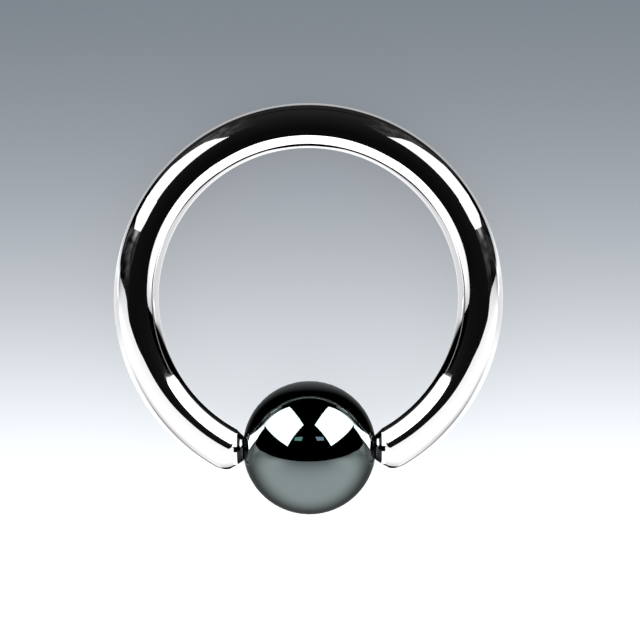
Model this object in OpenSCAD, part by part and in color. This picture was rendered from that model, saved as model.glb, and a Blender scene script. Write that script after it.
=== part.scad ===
// Captive bead ring: a round wire ring whose two rounded ends pinch a bead between them.
// It lies on its side, on the bead and on the far side of the wire, as it would by itself.
// The origin is on the surface under the middle of its outline, and the bead is towards -Y.

/* [Ring] */
// Thickness of the wire, 14 gauge
wire_d = 1.6; // [1.2:0.1:2]
// Inside diameter, the size that the ring is sold by
ring_inner_d = 10.7; // [9:0.1:14]

/* [Bead] */
// Diameter of the bead, 3/16 inch
bead_d = 4.76; // [4:0.01:6]
// How far each end of the wire reaches into the bead
seat_depth = 0.16; // [0.1:0.01:0.18]
// Running clearance between an end of the wire and its dimple
dimple_clearance = 0.03; // [0.02:0.01:0.05]

/* [Ends] */
// Angle off the bead's axis at which the bevel of an end starts, beside the bead
bevel_start = 35; // [33:1:40]
// Angle off the bead's axis at which the bevel runs out on the rounded shoulder
bevel_end = 56; // [50:1:60]

/* [Hidden] */
$fn = 96;

wire_r = wire_d / 2;
bead_r = bead_d / 2;
ring_r = ring_inner_d / 2 + wire_r;

// The centres of the two rounded ends lie on the bead's axis, this far from the bead's centre
half_span = bead_r + wire_r - seat_depth;
// Distance from the ring's centre to the bead's axis
bead_drop = sqrt(ring_r * ring_r - half_span * half_span);
// Half of the angle that the gap takes out of the ring
half_gap = asin(half_span / ring_r);

// The ring leans, because the bead is thicker than the wire
lean = asin((bead_r - wire_r) / (ring_r + bead_drop));
centre_z = bead_r - bead_drop * sin(lean);
// The bead's side and the wire's side of the outline lie equally far from the origin
centre_y = ((bead_drop - ring_r) * cos(lean) + bead_r - wire_r) / 2;

// The bevel is the chord of the rounded end between its two angles
bevel_middle = (bevel_start + bevel_end) / 2;
bevel_half_angle = (bevel_end - bevel_start) / 2;
bevel_distance = wire_r * cos(bevel_half_angle);
// The cutting tool passes both edges of the bevel by this much, and is this thick
tool_overrun = 0.1;
tool_thickness = 0.3;
tool_half_length = wire_r * sin(bevel_half_angle) + tool_overrun;
// Each half of the wire is bent this many degrees too far, and cut off at the ring's middle
bend_overrun = 5;

// Sets what is drawn flat round the ring's centre down on the surface, leaning
module at_rest() {
    translate([0, centre_y, centre_z])
        rotate([-lean, 0, 0])
            children();
}

// Draws its child and the mirror image of it, on the other side of the bead
module on_both_sides() {
    for (side = [0, 1])
        mirror([side, 0, 0])
            children();
}

// Moves its child to the end of the wire, whose rounded tip points at the bead along -X
module at_wire_end() {
    translate([half_span, -bead_drop, 0])
        children();
}

// Half a ball that rounds the end of the wire, with its flat side on the wire's end face
module rounded_end() {
    rotate([90, 0, 0])
        intersection() {
            sphere(d = wire_d);
            translate([-wire_d, -wire_d, 0])
                cube([2 * wire_d, 2 * wire_d, wire_d]);
        }
}

// The bent wire from its rounded end at the gap to just past the far side of the ring
module bent_wire() {
    rotate([0, 0, half_gap - 90]) {
        rotate_extrude(angle = 180 - half_gap + bend_overrun)
            translate([ring_r, 0])
                circle(d = wire_d);
        translate([ring_r, 0, 0])
            rounded_end();
    }
}

// The tool that turns the bevel on the end, round the bead's axis
module bevel_tool() {
    rotate([0, -90, 0])
        rotate_extrude()
            rotate(90 - bevel_middle)
                translate([bevel_distance, -tool_half_length])
                    square([tool_thickness, 2 * tool_half_length]);
}

// The half of the ring on the +X side of the bead
module half_ring() {
    difference() {
        intersection() {
            bent_wire();
            translate([0, -2 * ring_r, -wire_d])
                cube([2 * ring_r, 4 * ring_r, 2 * wire_d]);
        }
        at_wire_end() bevel_tool();
    }
}

// One piece of round wire, bent into a ring that is open where the bead sits
module ring() {
    color("silver")
        at_rest()
            on_both_sides() half_ring();
}

// A ball with a round dimple for each end of the wire, which hold it so that it can spin
module bead() {
    color("dimgray")
        at_rest()
            difference() {
                translate([0, -bead_drop, 0])
                    sphere(d = bead_d);
                on_both_sides()
                    at_wire_end() sphere(r = wire_r + dimple_clearance);
            }
}

ring();
bead();
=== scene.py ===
# A captive bead ring: a ring of polished steel wire whose two ends pinch a dark, mirror-polished bead.
import math

import bmesh
import bpy
from mathutils import Matrix, Vector


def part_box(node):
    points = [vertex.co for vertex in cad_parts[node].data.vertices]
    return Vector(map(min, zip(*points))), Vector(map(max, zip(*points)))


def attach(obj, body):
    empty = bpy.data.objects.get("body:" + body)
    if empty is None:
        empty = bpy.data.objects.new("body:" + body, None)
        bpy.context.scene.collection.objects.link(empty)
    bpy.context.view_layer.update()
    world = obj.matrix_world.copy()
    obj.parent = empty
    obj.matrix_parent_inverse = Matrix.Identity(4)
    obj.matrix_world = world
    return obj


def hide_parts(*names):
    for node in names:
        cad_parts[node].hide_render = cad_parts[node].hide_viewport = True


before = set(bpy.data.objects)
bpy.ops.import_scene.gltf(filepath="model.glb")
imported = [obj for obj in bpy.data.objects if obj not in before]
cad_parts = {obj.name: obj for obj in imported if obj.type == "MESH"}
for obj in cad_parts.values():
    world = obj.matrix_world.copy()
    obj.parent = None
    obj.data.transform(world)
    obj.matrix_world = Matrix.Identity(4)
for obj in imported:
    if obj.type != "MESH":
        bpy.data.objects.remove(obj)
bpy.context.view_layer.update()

# The ring
# The real piece is one length of 14 gauge surgical steel wire, bent round a mandrel and polished to a mirror.
# Each end is rounded like half a ball, and a narrow bevel is turned on it beside the bead.
MM = 0.001
WIRE_R = 0.8  # this and every size below is in millimetres, until MM turns them to metres
SEAT_DEPTH = 0.16  # how far each end reaches into the bead
BEVEL_ANGLES = (math.radians(35), math.radians(56))  # where the bevel starts and ends, off the bead's axis
WIRE_SIDES = 128
BEND_STEPS = 150
SHOULDER_LOOPS = 8  # from the wire to the bevel
TIP_LOOPS = 8  # from the bevel to the middle of the tip
SAME_PLACE = 1e-4  # vertices nearer than this are one

ring_low, ring_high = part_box("ring")
bead_low, bead_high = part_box("bead")
RING_R = round((ring_high.x - ring_low.x) / MM, 2) / 2 - WIRE_R
BEAD_R = round((bead_high.z - bead_low.z) / MM, 2) / 2
HALF_SPAN = BEAD_R + WIRE_R - SEAT_DEPTH
BEAD_DROP = math.sqrt(RING_R**2 - HALF_SPAN**2)
HALF_GAP = math.asin(HALF_SPAN / RING_R)

# The ring lies on the bead and on the far side of its wire, so it leans
LEAN = math.asin((BEAD_R - WIRE_R) / (RING_R + BEAD_DROP))
CENTRE_Y = ((BEAD_DROP - RING_R) * math.cos(LEAN) + BEAD_R - WIRE_R) / 2
CENTRE_Z = BEAD_R - BEAD_DROP * math.sin(LEAN)
AT_REST = (
    Matrix.Scale(MM, 4)
    @ Matrix.Translation((0, CENTRE_Y, CENTRE_Z))
    @ Matrix.Rotation(-LEAN, 4, "X")
)

TOWARDS_BEAD = Vector((-1, 0, 0))
END_CENTRE = Vector((HALF_SPAN, -BEAD_DROP, 0))


def next_loop(ball_centre, ball_r, axis, old_angle, new_angle, turn=0.0):
    """Extrudes the selected loop, which lies on a ball, to the loop that lies at new_angle off the axis.

    turn first turns the new loop about Z through the ball's centre, and axis is the axis after that turn."""
    bpy.ops.mesh.extrude_region()
    if turn:
        # With no window open, the operator turns the other way, so the angle is negated
        bpy.ops.transform.rotate(
            value=-turn, orient_axis="Z", center_override=ball_centre
        )
    narrow = math.sin(new_angle) / math.sin(old_angle)
    bpy.ops.transform.resize(
        value=(narrow, narrow, narrow),
        center_override=ball_centre + axis * ball_r * math.cos(old_angle),
    )
    bpy.ops.transform.translate(
        value=axis * ball_r * (math.cos(new_angle) - math.cos(old_angle))
    )


def select_vertices(piece, wanted):
    """Selects, in edit mode, the vertices whose place passes the test, with the edges between them."""
    bpy.ops.mesh.select_all(action="DESELECT")
    mesh = bmesh.from_edit_mesh(piece.data)
    for vertex in mesh.verts:
        vertex.select_set(wanted(vertex.co))
    mesh.select_flush(True)
    bmesh.update_edit_mesh(piece.data)


def mirror_and_place(piece):
    """Mirrors half a piece to the other side of the bead, closes it, and lays it down on the surface."""
    mirror = piece.modifiers.new("other_half", "MIRROR")
    mirror.use_axis = (True, False, False)
    mirror.merge_threshold = SAME_PLACE
    bpy.ops.object.modifier_apply(modifier=mirror.name)
    bpy.ops.object.mode_set(mode="EDIT")
    bpy.ops.mesh.select_all(action="SELECT")
    bpy.ops.mesh.remove_doubles(threshold=SAME_PLACE)
    bpy.ops.mesh.normals_make_consistent(inside=False)
    bpy.ops.object.mode_set(mode="OBJECT")
    bpy.ops.object.shade_smooth()
    piece.matrix_world = AT_REST
    bpy.ops.object.transform_apply()


bpy.ops.object.select_all(action="DESELECT")
bpy.ops.mesh.primitive_circle_add(
    vertices=WIRE_SIDES,
    radius=WIRE_R,
    location=END_CENTRE,
    rotation=(math.pi / 2, 0, HALF_GAP - math.pi / 2),
)
wire_ring = bpy.context.object
wire_ring.name = "wire_ring"
bpy.ops.object.transform_apply()
bpy.ops.object.mode_set(mode="EDIT")
bpy.ops.mesh.select_all(action="SELECT")
bpy.ops.mesh.spin(
    steps=BEND_STEPS, angle=math.pi - HALF_GAP, center=(0, 0, 0), axis=(0, 0, -1)
)

wire_direction = Vector((-math.cos(HALF_GAP), -math.sin(HALF_GAP), 0))
select_vertices(
    wire_ring,
    lambda place: abs((place - END_CENTRE).dot(wire_direction)) < SAME_PLACE
    and (place - END_CENTRE).length < WIRE_R + SAME_PLACE,
)
angle = math.pi / 2
for step in range(1, SHOULDER_LOOPS + 1):
    share = step / SHOULDER_LOOPS
    new_angle = math.pi / 2 + share * (BEVEL_ANGLES[1] - math.pi / 2)
    tilt = HALF_GAP * (1 - share)
    axis = Vector((-math.cos(tilt), -math.sin(tilt), 0))
    next_loop(END_CENTRE, WIRE_R, axis, angle, new_angle, -HALF_GAP / SHOULDER_LOOPS)
    angle = new_angle
bpy.ops.mesh.mark_sharp()
next_loop(END_CENTRE, WIRE_R, TOWARDS_BEAD, angle, BEVEL_ANGLES[0])
bpy.ops.mesh.mark_sharp()
angle = BEVEL_ANGLES[0]
for step in range(1, TIP_LOOPS):
    new_angle = BEVEL_ANGLES[0] * (1 - step / TIP_LOOPS)
    next_loop(END_CENTRE, WIRE_R, TOWARDS_BEAD, angle, new_angle)
    angle = new_angle
bpy.ops.mesh.extrude_region()
bpy.ops.mesh.merge(type="CENTER")
bpy.ops.object.mode_set(mode="OBJECT")
mirror_and_place(wire_ring)


def linear(hex_colour):
    """The linear colour of an sRGB hex value such as "DCDCDE", with alpha 1."""
    channels = [int(hex_colour[i : i + 2], 16) / 255 for i in (0, 2, 4)]
    return (
        *[c / 12.92 if c <= 0.04045 else ((c + 0.055) / 1.055) ** 2.4 for c in channels],
        1.0,
    )


def add_node(tree, kind, inputs, **settings):
    """Adds a node. inputs gives each socket its value, or the output socket that feeds it."""
    node = tree.nodes.new(kind)
    for name, value in settings.items():
        setattr(node, name, value)
    for name, value in inputs.items():
        if isinstance(value, bpy.types.NodeSocket):
            tree.links.new(value, node.inputs[name])
        else:
            node.inputs[name].default_value = value
    return node


def empty_material(name):
    """A new material with no nodes in it."""
    material = bpy.data.materials.new(name)
    material.use_nodes = True
    material.node_tree.nodes.clear()
    return material


# Surgical steel, buffed to a mirror on a wheel. The wheel leaves a faint haze in streaks and a very slight
# waviness, so that reflections of straight edges are crisp but not ruled.
BUFFING_STREAK = 0.9  # width of a streak of the haze
WAVE_LENGTH = 1.6
WAVE_HEIGHT = 0.0012

polished_steel = empty_material("polished_steel")
tree = polished_steel.node_tree
place = add_node(tree, "ShaderNodeTexCoord", {}).outputs["Object"]
haze = add_node(
    tree,
    "ShaderNodeTexNoise",
    {"Vector": place, "Scale": 1 / (BUFFING_STREAK * MM), "Detail": 4.0, "Roughness": 0.6},
)
haze_roughness = add_node(
    tree,
    "ShaderNodeMapRange",
    {"Value": haze.outputs["Fac"], "From Min": 0.35, "From Max": 0.75, "To Min": 0.02, "To Max": 0.07},
)
waves = add_node(
    tree,
    "ShaderNodeTexNoise",
    {"Vector": place, "Scale": 1 / (WAVE_LENGTH * MM), "Detail": 1.0},
)
wavy = add_node(
    tree,
    "ShaderNodeBump",
    {"Height": waves.outputs["Fac"], "Distance": WAVE_HEIGHT * MM, "Strength": 1.0},
)
steel = add_node(
    tree,
    "ShaderNodeBsdfPrincipled",
    {
        "Base Color": linear("E2E2E4"),
        "Metallic": 1.0,
        "Roughness": haze_roughness.outputs["Result"],
        "Normal": wavy.outputs["Normal"],
    },
)
add_node(tree, "ShaderNodeOutputMaterial", {"Surface": steel.outputs["BSDF"]})

wire_ring.data.materials.append(polished_steel)
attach(wire_ring, "ring")
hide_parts("ring")

# The bead
# The real piece is a 3/16 inch ball of hematite, ground round, tumbled to a mirror polish, and drilled with a
# shallow round dimple at each side. The wire's ends sit in the dimples, and nothing else holds it.
DIMPLE_R = WIRE_R + 0.03  # the end's radius and its running clearance
BEAD_SEGMENTS = 160
BEAD_RINGS = 80
DIMPLE_LOOPS = 8
RIM_BREAK = 0.02  # width of the broken edge of a dimple
ON_CIRCLE = 1e-3  # a vertex this near to a circle on the ball belongs to it

bead_centre = Vector((0, -BEAD_DROP, 0))
rim_x = (BEAD_R**2 - DIMPLE_R**2 + HALF_SPAN**2) / (2 * HALF_SPAN)
rim_angle = math.acos(rim_x / BEAD_R)
dimple_angle = math.acos((HALF_SPAN - rim_x) / DIMPLE_R)
ring_step = math.pi / BEAD_RINGS
last_ring_angle = math.ceil(rim_angle / ring_step + 1) * ring_step

bpy.ops.object.select_all(action="DESELECT")
bpy.ops.mesh.primitive_uv_sphere_add(
    segments=BEAD_SEGMENTS,
    ring_count=BEAD_RINGS,
    radius=BEAD_R,
    location=bead_centre,
    rotation=(0, math.pi / 2, 0),
)
ball_bead = bpy.context.object
ball_bead.name = "ball_bead"
bpy.ops.object.transform_apply()
bpy.ops.object.mode_set(mode="EDIT")
bpy.ops.mesh.select_all(action="SELECT")
bpy.ops.mesh.bisect(
    plane_co=bead_centre, plane_no=TOWARDS_BEAD, clear_outer=True, threshold=SAME_PLACE
)
middle_of_gap = last_ring_angle - ring_step / 2
select_vertices(ball_bead, lambda place: place.x > BEAD_R * math.cos(middle_of_gap))
bpy.ops.mesh.delete(type="VERT")
next_ring_x = BEAD_R * math.cos(last_ring_angle)
select_vertices(ball_bead, lambda place: place.x > next_ring_x - ON_CIRCLE)
next_loop(bead_centre, BEAD_R, -TOWARDS_BEAD, last_ring_angle, rim_angle)
angle = dimple_angle
for step in range(1, DIMPLE_LOOPS):
    new_angle = dimple_angle * (1 - step / DIMPLE_LOOPS)
    next_loop(END_CENTRE, DIMPLE_R, TOWARDS_BEAD, angle, new_angle)
    angle = new_angle
bpy.ops.mesh.extrude_region()
bpy.ops.mesh.merge(type="CENTER")
rim_r = BEAD_R * math.sin(rim_angle)
select_vertices(
    ball_bead,
    lambda place: abs(place.x - rim_x) < ON_CIRCLE
    and abs((place - bead_centre).yz.length - rim_r) < ON_CIRCLE,
)
bpy.ops.mesh.bevel(offset=RIM_BREAK / 2, segments=3)
bpy.ops.object.mode_set(mode="OBJECT")
mirror_and_place(ball_bead)

# Hematite: an iron ore, nearly black in bulk, whose polished face mirrors about a quarter of the light like a
# dull dark metal, with a slight green-grey cast. The tumbling leaves a faint haze, and the ore a faint grain.
TUMBLING_HAZE = 1.1  # width of a cloud of the haze
GRAIN_WIDTH = 1.8

polished_hematite = empty_material("polished_hematite")
tree = polished_hematite.node_tree
place = add_node(tree, "ShaderNodeTexCoord", {}).outputs["Object"]
haze = add_node(
    tree,
    "ShaderNodeTexNoise",
    {"Vector": place, "Scale": 1 / (TUMBLING_HAZE * MM), "Detail": 5.0, "Roughness": 0.6},
)
haze_roughness = add_node(
    tree,
    "ShaderNodeMapRange",
    {"Value": haze.outputs["Fac"], "From Min": 0.35, "From Max": 0.75, "To Min": 0.02, "To Max": 0.06},
)
grain = add_node(
    tree,
    "ShaderNodeTexNoise",
    {"Vector": place, "Scale": 1 / (GRAIN_WIDTH * MM), "Detail": 6.0, "Roughness": 0.55},
)
grain_colour = add_node(
    tree,
    "ShaderNodeMix",
    {6: linear("747F7F"), 7: linear("7E8989"), "Factor": grain.outputs["Fac"]},
    data_type="RGBA",
)
hematite = add_node(
    tree,
    "ShaderNodeBsdfPrincipled",
    {
        "Base Color": grain_colour.outputs[2],
        "Metallic": 1.0,
        "Roughness": haze_roughness.outputs["Result"],
    },
)
add_node(tree, "ShaderNodeOutputMaterial", {"Surface": hematite.outputs["BSDF"]})

ball_bead.data.materials.append(polished_hematite)
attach(ball_bead, "bead")
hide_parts("bead")

# The studio
# A plain pale floor that the ring lies on, soft light, and white cards that only the mirror finishes see.
# Its places are given as the camera sees them: X right, Y up in the picture and Z towards the camera.
FLOOR_SIZE = 0.6  # in metres

bpy.ops.object.select_all(action="DESELECT")
bpy.ops.mesh.primitive_plane_add(size=FLOOR_SIZE)
floor = bpy.context.object
floor.name = "floor"
floor.visible_glossy = False
pale_floor = empty_material("pale_floor")
matt = add_node(
    pale_floor.node_tree,
    "ShaderNodeBsdfPrincipled",
    {"Base Color": linear("E6E8EA"), "Roughness": 0.9, "Specular IOR Level": 0.0},
)
add_node(
    pale_floor.node_tree, "ShaderNodeOutputMaterial", {"Surface": matt.outputs["BSDF"]}
)
floor.data.materials.append(pale_floor)


def seen_by(piece):
    """The collection that limits a card to being mirrored in one piece."""
    only = bpy.data.collections.new(f"seen_by_{piece.name}")
    only.objects.link(piece)
    return only


def product(tree, *factors):
    """All the factors multiplied together. Each is a number or a socket."""
    result, *others = factors
    for factor in others:
        step = add_node(tree, "ShaderNodeMath", {0: result, 1: factor}, operation="MULTIPLY")
        result = step.outputs[0]
    return result


def add_card(
    name,
    corners,
    receivers,
    colour="FFFFFF",
    strength=1.0,
    pattern=None,
    one_sided=False,
    second=0.3,
    faces=None,
    reach=None,
):
    """A glowing card through its corners, seen only in the reflections of the receivers.

    pattern is given the card's nodes and its place, and returns what the strength is multiplied by.
    second is how much of the strength a reflection of a reflection shows.
    reach is the distance in millimetres beyond which the card isn't seen."""
    mesh = bpy.data.meshes.new(name)
    mesh.from_pydata([tuple(c) for c in corners], [], faces or [range(len(corners))])
    card = bpy.data.objects.new(name, mesh)
    bpy.context.scene.collection.objects.link(card)
    card.matrix_world = AT_REST
    glow = empty_material(name)
    tree = glow.node_tree
    # None of a card's light reaches the floor by way of the mirror finishes, and a reflection of a reflection
    # shows another share of it
    bounces = add_node(tree, "ShaderNodeLightPath", {})
    off_floor = add_node(
        tree, "ShaderNodeMath", {0: bounces.outputs["Diffuse Depth"], 1: 0.5}, operation="LESS_THAN"
    )
    again = add_node(
        tree,
        "ShaderNodeMapRange",
        {
            "Value": bounces.outputs["Glossy Depth"],
            "From Min": 1,
            "From Max": 2,
            "To Min": 1.0,
            "To Max": second,
        },
    )
    factors = [strength, off_floor.outputs[0], again.outputs["Result"]]
    if pattern:
        place = add_node(tree, "ShaderNodeTexCoord", {}).outputs["Object"]
        factors.append(pattern(tree, place))
    if one_sided:
        back = add_node(tree, "ShaderNodeNewGeometry", {}).outputs["Backfacing"]
        front = add_node(tree, "ShaderNodeMath", {0: 1.0, 1: back}, operation="SUBTRACT")
        factors.append(front.outputs[0])
    if reach:
        near = add_node(
            tree,
            "ShaderNodeMath",
            {0: bounces.outputs["Ray Length"], 1: reach * MM},
            operation="LESS_THAN",
        )
        factors.append(near.outputs[0])
    light = add_node(
        tree,
        "ShaderNodeEmission",
        {"Color": linear(colour), "Strength": product(tree, *factors)},
    )
    clear = add_node(tree, "ShaderNodeBsdfTransparent", {})
    both = add_node(
        tree, "ShaderNodeAddShader", {0: light.outputs["Emission"], 1: clear.outputs["BSDF"]}
    )
    add_node(tree, "ShaderNodeOutputMaterial", {"Surface": both.outputs["Shader"]})
    card.data.materials.append(glow)
    card.visible_camera = False
    card.visible_diffuse = False
    card.visible_shadow = False
    card.light_linking.receiver_collection = receivers


def add_pair(name, corners, receivers, faces=None, **settings):
    """A card on the right and its mirror image on the left."""
    for side, sign in (("right", 1), ("left", -1)):
        places = [Vector((sign * c.x, c.y, c.z)) for c in corners]
        outlines = [list(face)[::sign] for face in faces or [range(len(corners))]]
        add_card(f"{name}_{side}", places, receivers, faces=outlines, **settings)


def at_clock(clock, radius, height):
    """The point at a clock angle from the picture's top, this far from the ring's axis and at this height."""
    turn = math.radians(clock)
    return Vector((radius * math.sin(turn), radius * math.cos(turn), height))


FAR = 150  # how far off the softboxes stand


def towards(clock, off_axis, distance=FAR):
    """The point this far from the ring's middle, at a clock angle and an angle off the camera's axis."""
    tilt = math.radians(off_axis)
    return at_clock(clock, distance * math.sin(tilt), distance * math.cos(tilt))


on_bead = seen_by(ball_bead)
on_ring = seen_by(wire_ring)

# What the bead mirrors
# Two square softboxes that stand on a corner, two small windows, a white card that begins in front of it and
# turns up at the sides and carries a painted shadow of the bead, a glowing card along each arm of the wire
# that paints a bright reflection of the arm in the bead, and a dim room behind
BEAD_WHITE = 6.0  # strength of the brightest cards
CARD_Y = -14.3  # the white card lies this far below the ring's centre
CARD_SIDE = 200  # where it turns up
CARD_SIDE_FRONT = -20  # the sides begin here, further back than the middle
CARD_BACK = -150

bead_softbox = [(25.4, 86.5), (13.4, 42.6), (82.5, 37.8), (62.9, 98)]
add_pair(
    "bead_softbox",
    [bead_centre + towards(clock, off_axis) for clock, off_axis in bead_softbox],
    on_bead,
    strength=BEAD_WHITE,
    second=0.03,
)
bead_window = [(27, 23.5), (50, 31.6), (60, 29.2), (43, 19.6)]
for side, sign, tint in (("right", 1, "C4D6F4"), ("left", -1, "A0E0D4")):
    corners = [bead_centre + towards(sign * clock, off_axis) for clock, off_axis in bead_window]
    add_card(f"bead_window_{side}", corners, on_bead, tint, strength=1.3)


def raised(tree, start, *parts):
    """The start with a share of each value added to it. Each part is a share and its value."""
    for share, value in parts:
        step = add_node(
            tree, "ShaderNodeMath", {0: value, 1: share, 2: start}, operation="MULTIPLY_ADD"
        )
        start = step.outputs[0]
    return start


def both_sides(tree, place):
    """The place with its X made positive, so that a pattern is alike on the right and on the left."""
    parts = add_node(tree, "ShaderNodeSeparateXYZ", {"Vector": place})
    width = add_node(tree, "ShaderNodeMath", {0: parts.outputs["X"]}, operation="ABSOLUTE")
    even = add_node(
        tree,
        "ShaderNodeCombineXYZ",
        {"X": width.outputs[0], "Y": parts.outputs["Y"], "Z": parts.outputs["Z"]},
    )
    return even.outputs["Vector"]


def way_from(tree, centre, place):
    """The direction in which the centre sees the place, with a length of 1."""
    seen = add_node(
        tree, "ShaderNodeVectorMath", {0: place, 1: centre}, operation="SUBTRACT"
    )
    way = add_node(
        tree, "ShaderNodeVectorMath", {0: seen.outputs["Vector"]}, operation="NORMALIZE"
    )
    return way.outputs["Vector"]


# Directions along which a pattern fades
ACROSS = (1, 0, 0)
UP = (0, 1, 0)
NEARER = (0, 0, 1)


def fade(tree, place, direction, start, end, low, high):
    """low up to start along the direction, high from end on, and smooth between them."""
    measured = add_node(
        tree, "ShaderNodeVectorMath", {0: place, 1: direction}, operation="DOT_PRODUCT"
    )
    eased = add_node(
        tree,
        "ShaderNodeMapRange",
        {
            "Value": measured.outputs["Value"],
            "From Min": start,
            "From Max": end,
            "To Min": low,
            "To Max": high,
        },
        interpolation_type="SMOOTHSTEP",
    )
    return eased.outputs["Result"]


def soft_spot(tree, place, centre, radii, edge=1.0):
    """1 in the middle of an ellipsoid, falling smoothly to 0 over the outer share that edge gives."""
    scaled = add_node(
        tree,
        "ShaderNodeMapping",
        {"Vector": place, "Location": centre, "Scale": radii},
        vector_type="TEXTURE",
    )
    ball = add_node(
        tree,
        "ShaderNodeTexGradient",
        {"Vector": scaled.outputs["Vector"]},
        gradient_type="SPHERICAL",
    )
    eased = add_node(
        tree,
        "ShaderNodeMapRange",
        {"Value": ball.outputs["Fac"], "From Max": edge},
        interpolation_type="SMOOTHSTEP",
    )
    return eased.outputs["Result"]


def bead_card_pattern(tree, place):
    """Dim at the front edge and the far sides, brighter in a patch on each side, and darker behind the bead,
    where the darkening is a painted shadow of the bead on the floor that it mirrors.
    """
    even = both_sides(tree, place)
    patch = soft_spot(tree, even, (24, CARD_Y, 17), (16, 1, 14))
    far_corner = product(
        tree,
        fade(tree, even, ACROSS, 14, 36, 0.0, 1.0),
        fade(tree, even, NEARER, -30, -10, 1.0, 0.0),
    )
    return product(
        tree,
        fade(tree, even, NEARER, 4, 25, 1.0, 0.4),
        fade(tree, even, ACROSS, 14, 60, 1.0, 0.5),
        # Painted shadow: the card darkens in the directions that point behind and under the bead, where the
        # bead shades the floor
        fade(tree, way_from(tree, bead_centre, place), NEARER, -0.75, 0.2, 0.1, 1.0),
        raised(tree, 1.0, (0.9, far_corner)),
        raised(tree, 1.0, (0.4, patch)),
    )


lower_card = [(0, 24.5), (19, 23.5), (83, 14), (CARD_SIDE, CARD_SIDE_FRONT)]
lower_card += [(CARD_SIDE, CARD_BACK), (0, CARD_BACK)]
lower_card = [Vector((x, CARD_Y, z)) for x, z in lower_card]
side_card = [(CARD_Y, CARD_SIDE_FRONT), (12, -76), (30, CARD_BACK), (CARD_Y, CARD_BACK)]
side_card = [Vector((CARD_SIDE, y, z)) for y, z in side_card]
for name, corners in (("bead_lower_card", lower_card), ("bead_side_card", side_card)):
    add_pair(name, corners, on_bead, strength=1.2, pattern=bead_card_pattern, second=0.16)

# A painted reflection: a glowing white card along each arm of the wire, between it and the bead, stands in
# for the bright image of the arm that the bead mirrors
arm_reflection_card = [
    (3.76, 2.03, 1.21),
    (3.17, 1.11, 0.86),
    (2.55, 0.56, 0.65),
    (2.49, 0.29, 0.67),
    (2.46, -0.03, 0.79),
    (3.18, 0.61, 1.1),
    (3.78, 1.71, 1.38),
]
add_pair(
    "bead_arm_reflection",
    [bead_centre + Vector(corner) for corner in arm_reflection_card],
    on_bead,
    [(0, 1, 6), (6, 1, 5), (1, 2, 5), (2, 3, 5), (3, 4, 5)],
    strength=BEAD_WHITE,
    second=0.0,
)
BEAD_BACK_Z = -60
bead_back = [(-200, CARD_Y), (200, CARD_Y), (200, 200), (-200, 200)]
add_card(
    "bead_back",
    [(x, y, BEAD_BACK_Z) for x, y in bead_back],
    on_bead,
    strength=0.21,
    pattern=lambda tree, place: soft_spot(tree, place, (0, 10, BEAD_BACK_Z), (52, 110, 1)),
)

# What the wire mirrors
# A softbox high on each side, a white sweep under it that curves up in front and at the sides, pale paper
# behind, small cards round its ends, and a dark room in front and above
RING_WHITE = 1.4  # strength of the brightest cards

ring_softbox = [(25.8, 35.5), (30, 60), (33.3, 75), (36.5, 81), (42.8, 91), (46, 97.5), (57.5, 99.5)]
ring_softbox += [(59.5, 92), (59.5, 47), (57.5, 38), (43, 35.3)]
ring_softbox = [towards(clock, off_axis) for clock, off_axis in ring_softbox]
add_pair("ring_softbox", ring_softbox, on_ring, strength=RING_WHITE, second=1.2)


def standing_card(name, radius, corners, strength, **settings):
    """A card on each side that stands round the ring's axis, through these clock angles and heights."""
    points = [at_clock(clock, radius, height) for clock, height in corners]
    add_pair(name, points, on_ring, strength=strength, **settings)


# A reflector on each side lengthens the stripe on the wire's outside, and dim, uneven things stand beside it.
# The far side of the wire doesn't see them.
OUTER_R = 20
NEAR_SIDE = 25  # the wire's near side is less far from these cards than this, and its far side further

outer_reflector = [(57, 23.4), (57, -1.5), (64, -1.5), (67.8, 2.9), (67.8, 17.4), (64, 22.4)]
standing_card("outer_reflector", OUTER_R, outer_reflector, RING_WHITE, reach=NEAR_SIDE)

# Cards that stand inside the ring and face its middle, which only the far side of the wire sees: the stripe's
# square lower end, and the white that fills the inside of the upper half
INNER_R = 4.9
WALL_WHITE = 1.3

inner_stripe = [(57, -3.4), (59.5, -1.5), (59.5, 9.5), (57, 12.5), (51, 14.9), (24, 14.9), (24, -3.8)]
standing_card("inner_stripe", INNER_R, inner_stripe, RING_WHITE, one_sided=True)


def strip_faces(corners):
    """The faces of a strip whose corners are given in pairs along it."""
    return [(i, i + 1, i + 3, i + 2) for i in range(0, len(corners) - 2, 2)]


def inner_wall(name, radius, rows, pattern=None):
    """A white band inside the ring, through rows of a clock angle and the heights of its top and its foot."""
    corners = [(clock, height) for clock, *heights in rows for height in heights]
    faces = strip_faces(corners)
    standing_card(name, radius, corners, WALL_WHITE, pattern=pattern, one_sided=True, faces=faces)


inner_wall(
    "inner_wall",
    INNER_R,
    [(97, 5.7, -0.5), (105, 7.3, -1.15), (120, 8.7, -1.5), (135, 8.7, -1.5), (145, 8.7, -2.8)],
    pattern=lambda tree, place: fade(tree, place, UP, -2.4, -0.3, 1.0, 0.1),
)
# In front of the bead it stands nearer to the middle
BEAD_WALL_R = 2.6
inner_wall(
    "bead_wall",
    BEAD_WALL_R,
    [(145, 6.3, -2.6), (150, 6.1, -2.53), (165, 6.5, -2.66), (180, 6.5, -2.35)],
)

# The patterns of the uneven things are drawn beside the wire, where they are mirrored, and spread out from
# there to the cards
PATTERN_R = 7.3
PATTERN_FOOT = 0.465  # height at the wire of what a card shows at height 0
PATTERN_SQUEEZE = 0.0755  # a height at the wire as a share of the height on a card
# Clock angle, height, radius and strength of each soft patch past the stripe's lower end
STRIPE_END_PATCHES = [
    (68.2, 1.15, 0.34, 0.4),
    (70.3, 1.1, 0.28, 0.26),
    (73.2, 1.0, 0.27, 0.11),
    (76.8, 1.2, 0.3, 0.05),
    (80.5, 1.3, 0.5, 0.04),
]
PATCH_HEIGHT = 0.45


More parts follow.
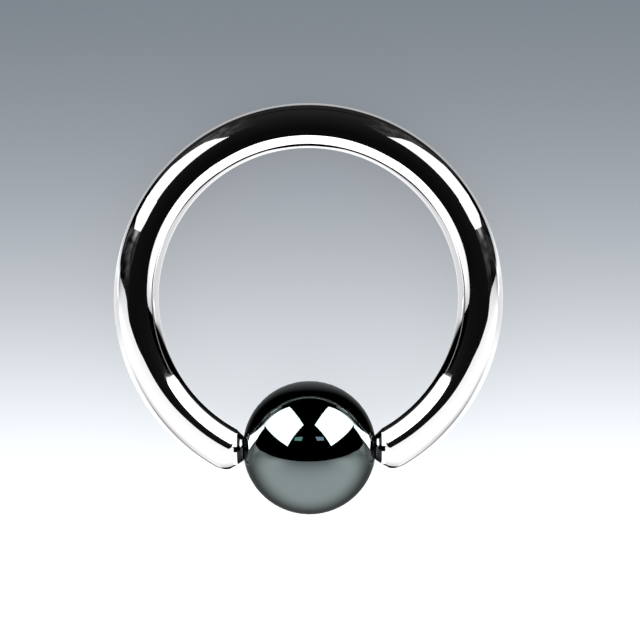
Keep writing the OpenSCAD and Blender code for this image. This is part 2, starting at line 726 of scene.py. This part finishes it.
def at_the_wire(tree, place):
    """The place beside the wire that belongs to a place on an outer card."""
    inwards = PATTERN_R / OUTER_R
    moved = add_node(
        tree,
        "ShaderNodeMapping",
        {
            "Vector": place,
            "Location": (0, 0, PATTERN_FOOT),
            "Scale": (inwards, inwards, PATTERN_SQUEEZE),
        },
    )
    return moved.outputs["Vector"]


def smoke(tree, place):
    """Uneven streaks, like things that stand about in a dark room."""
    streaks = add_node(
        tree,
        "ShaderNodeTexNoise",
        {"Vector": place, "Scale": 1.6, "Detail": 4.0, "Roughness": 0.6, "Distortion": 0.8},
    )
    eased = add_node(
        tree,
        "ShaderNodeMapRange",
        {"Value": streaks.outputs["Fac"], "From Min": 0.35, "From Max": 0.75, "To Min": 0.05},
        interpolation_type="SMOOTHSTEP",
    )
    return eased.outputs["Result"]


def beside_stripes(tree, place):
    """Streaks that grow as far up as the stripe, and a row of soft patches, each dimmer than the last."""
    place = at_the_wire(tree, place)
    even = both_sides(tree, place)
    glow = product(
        tree,
        smoke(tree, place),
        fade(tree, place, UP, 0.6, 2.5, 0.02, 0.1),
        fade(tree, place, UP, 2.55, 3.1, 1.0, 0.0),
    )
    for clock, height, radius, strength in STRIPE_END_PATCHES:
        centre = at_clock(clock, PATTERN_R, height)
        patch = soft_spot(tree, even, centre, (radius, radius, PATCH_HEIGHT), edge=0.7)
        glow = raised(tree, glow, (strength, patch))
    return glow


def above_stripes(tree, place):
    """Faint streaks that fade out towards the middle."""
    place = at_the_wire(tree, place)
    outwards = fade(tree, both_sides(tree, place), ACROSS, 2.0, 3.4, 0.0, 0.1)
    return product(tree, smoke(tree, place), outwards)


for name, corners, pattern in (
    ("smoke_low", [(64, -3.7), (90, -7.7), (90, 18.7), (64, 18.7)], beside_stripes),
    ("smoke_high", [(16, -1.9), (42, -1.9), (42, 5.7), (30, 18.7), (16, 16.2)], above_stripes),
):
    standing_card(name, OUTER_R, corners, 1.0, pattern=pattern, reach=NEAR_SIDE)

# The sweep
# Its rows are given from the middle out to the right. Each starts at the front edge and ends behind.
sweep_rows = [
    [Vector((0, -5.7, 8.2)), towards(180, 80, 60), towards(180, 112, 60)],
    [Vector((2.56, -4.43, 8.14)), towards(150, 80, 60), towards(150, 110, 60)],
    [Vector((3.92, -3.92, 10.0)), towards(135, 80, 90), towards(135, 105, 90)],
    [Vector((5.29, -3.98, 10.9)), towards(127, 80, 105), towards(127, 104, 120)],
    [Vector((6.46, -3.73, 12.03)), towards(120, 80, 120), towards(120, 104.5)],
    [Vector((7.48, -3.49, 12.7)), towards(115, 80, 130), towards(115, 104)],
    [Vector((8.8, -3.2, 13.4)), towards(110, 80, 140), towards(110, 103.5)],
    [Vector((12.75, -3.42, 15.7)), towards(105, 80, 140), towards(105, 102.5)],
    [Vector((21.35, -2.6, 18.2)), towards(97, 80), towards(97, 101.5)],
    [Vector((22.2, 0, 16.0)), towards(90, 85), towards(90, 101.5)],
    [towards(87, 62, 40), towards(87, 90), towards(87, 112)],
    [towards(83, 92), towards(83, 102), towards(83, 112)],
    [towards(80, 111), towards(80, 112), towards(80, 113)],
]


def sweep_pattern(tree, place):
    """White in front and low down, dimmer behind the wire, and fading out where the sides end higher up."""
    behind = product(
        tree,
        fade(tree, way_from(tree, (0, 0, 0), place), NEARER, -0.3, 0.3, 1.0, 0.0),
        fade(tree, place, UP, -66, -38, 1.0, 0.0),
    )
    return product(tree, raised(tree, 1.0, (-0.5, behind)), fade(tree, place, UP, -14, 24, 1.0, 0.1))


sweep_faces = []
for first in range(0, 3 * len(sweep_rows) - 3, 3):
    for at in (first, first + 1):
        sweep_faces += [(at, at + 1, at + 4), (at, at + 4, at + 3)]
sweep_corners = [corner for row in sweep_rows for corner in row]
add_pair(
    "ring_sweep", sweep_corners, on_ring, sweep_faces, strength=RING_WHITE, pattern=sweep_pattern
)

# The cards at the wire's ends
# A sector of a white collar stands round each end, above and below its middle, and carries the white of the
# arms on to the bevel. A small card beside each bevel leaves a glint on it.
TIP_COLLAR_X = 2.45  # along the bead's axis, from the bead's middle
TIP_COLLAR_RADII = (0.68, 1.05)
TIP_COLLAR_STEPS = 8
GLINT_X = 2.39
TIP_REACH = 1  # only the end beside it sees a card

for name, first, last in (("ring_tip_upper", 7.3, 68), ("ring_tip_lower", -13, -80)):
    sector = []
    for step in range(TIP_COLLAR_STEPS + 1):
        turn = math.radians(first + (last - first) * step / TIP_COLLAR_STEPS)
        for radius in TIP_COLLAR_RADII:
            way = Vector((0, math.sin(turn), math.cos(turn)))
            sector.append(bead_centre + Vector((TIP_COLLAR_X, 0, 0)) + radius * way)
    faces = strip_faces(sector)
    add_pair(name, sector, on_ring, faces, strength=RING_WHITE, second=0.0, reach=TIP_REACH)
glint = [(0.055, 0.536), (0.13, 0.566), (0.232, 0.526), (0.33, 0.47)]
glint += [(0.375, 0.39), (0.3, 0.4), (0.208, 0.458), (0.12, 0.487)]
glint = [bead_centre + Vector((GLINT_X, y, z)) for y, z in glint]
add_pair("ring_glint", glint, on_ring, strength=RING_WHITE, second=0.0, reach=TIP_REACH)

# The paper behind
# Its lower edge leaves a thin dark line under the inner walls. The edge stands higher near the middle. This
# dark line is a painted shadow: it stands for the bead's shadow on the floor, as the inside of the wire
# mirrors it
RING_BACK_Z = -64
paper_edge = [(300, -88), (181, -104.5), (88.8, -88.8), (44.2, -76.7), (21.4, -80), (8, -59)]
paper_edge += [(-x, y) for x, y in reversed(paper_edge)]
paper = [Vector((x, y, RING_BACK_Z)) for x, y in [(-300, 300), (300, 300)] + paper_edge]


def paper_pattern(tree, place):
    """Pale low down, reaching higher up towards the sides, and whiter under the middle of the ring."""
    low = fade(tree, both_sides(tree, place), (-0.15, 1, 0), -1, 11, 0.9, 0.0)
    under_ring = soft_spot(tree, place, (0, -45, RING_BACK_Z), (60, 60, 1))
    return raised(tree, low, (0.6, under_ring))


add_card("ring_back", paper, on_ring, pattern=paper_pattern)

# The collar
# It is flat, and just behind the wire, where only the wire's outer rim sees it
COLLAR_Z = -1.2
COLLAR_INNER_R = 7.05
COLLAR_REACH = 10
collar_outline = [(clock, 8.8) for clock in (0, 15, 30, 45, 60)] + [(75, 9.4), (80, 10.5)]
collar_outline += [(clock, 12) for clock in (84, 90, 97, 110, 120, 135, 150, 158)]
collar = []
for clock, outer_radius in collar_outline:
    collar += [at_clock(clock, radius, COLLAR_Z) for radius in (COLLAR_INNER_R, outer_radius)]


def collar_pattern(tree, place):
    """Brightest a little above the middle, nearly dark at the middle, and dim lower down."""
    above = product(
        tree,
        fade(tree, place, UP, 0.6, 2.3, 0.1, 1.0),
        fade(tree, place, UP, 0, 6, 0.85, 0.55),
    )
    return raised(tree, above, (0.36, fade(tree, place, UP, -2.8, -1.0, 1.0, 0.0)))


add_pair(
    "ring_collar",
    collar,
    on_ring,
    strip_faces(collar),
    pattern=collar_pattern,
    reach=COLLAR_REACH,
)

# The dark room in front and above
add_card(
    "ring_dim_room",
    [(-300, -320, 284), (300, -320, 284), (300, 400, 0), (-300, 400, 0)],
    on_ring,
    strength=0.02,
    pattern=lambda tree, place: fade(tree, place, UP, -60, 260, 0.2, 1.0),
)
add_card(
    "ring_dim_ceiling",
    [(-300, 300, -20), (300, 300, -20), (300, 200, -250), (-300, 200, -250)],
    on_ring,
    strength=0.022,
)

# A wide, low lamp that brightens the floor in front of the ring. It casts no shadow and isn't mirrored.
bpy.ops.object.light_add(type="AREA")
floor_lamp = bpy.context.object
floor_lamp.name = "floor_lamp"
floor_lamp.data.shape = "RECTANGLE"
floor_lamp.data.size = 80 * MM
floor_lamp.data.size_y = 6 * MM
floor_lamp.data.energy = 0.0092
floor_lamp.data.use_shadow = False
floor_lamp.location = AT_REST @ Vector((0, -12, 9))
straight_back = AT_REST @ Vector((0, -12, 0)) - floor_lamp.location
floor_lamp.rotation_euler = straight_back.to_track_quat("-Z", "Y").to_euler()
floor_lamp.visible_camera = False
floor_lamp.visible_glossy = False

# The room's light comes from all round. Half of it casts no shadow, which keeps the ring's shadow faint.
ROOM_LIGHT = "C4D6EA"
ROOM_STRENGTH = 0.125  # of each half

bpy.ops.object.light_add(type="SUN")
room_fill = bpy.context.object
room_fill.name = "room_fill"
room_fill.data.energy = ROOM_STRENGTH * math.pi
room_fill.data.color = linear(ROOM_LIGHT)[:3]
room_fill.data.use_shadow = False
room_fill.visible_glossy = False

world = bpy.data.worlds.new("pale_room")
bpy.context.scene.world = world
world.use_nodes = True
world.node_tree.nodes["Background"].inputs["Color"].default_value = linear(ROOM_LIGHT)
world.node_tree.nodes["Background"].inputs["Strength"].default_value = ROOM_STRENGTH
world.cycles_visibility.glossy = False

# The camera
# It looks square on to the ring's own plane, from far enough for the ring to look flat.
LENS = 150
SENSOR = 36
FRAME_PX = 640
FRAME_WIDTH = 22.87  # what the picture is wide at the ring
RING_OFF_CENTRE_PX = Vector((-11.6, 22.3))  # from the picture's middle, right and up
CAMERA_ROLL = -0.4

distance = FRAME_WIDTH * LENS / SENSOR
ring_off_centre = RING_OFF_CENTRE_PX * FRAME_WIDTH / FRAME_PX
bpy.ops.object.camera_add()
camera = bpy.context.object
camera.data.lens = LENS
camera.data.sensor_width = SENSOR
camera.data.clip_start = 0.001
camera.data.clip_end = 5
roll = Matrix.Rotation(math.radians(CAMERA_ROLL), 4, "Z")
aim = roll @ Vector((-ring_off_centre.x, -ring_off_centre.y, distance))
camera.location = AT_REST @ aim
camera.rotation_euler = (Matrix.Rotation(-LEAN, 4, "X") @ roll).to_euler()
bpy.context.scene.camera = camera
bpy.context.scene.view_settings.view_transform = "Standard"
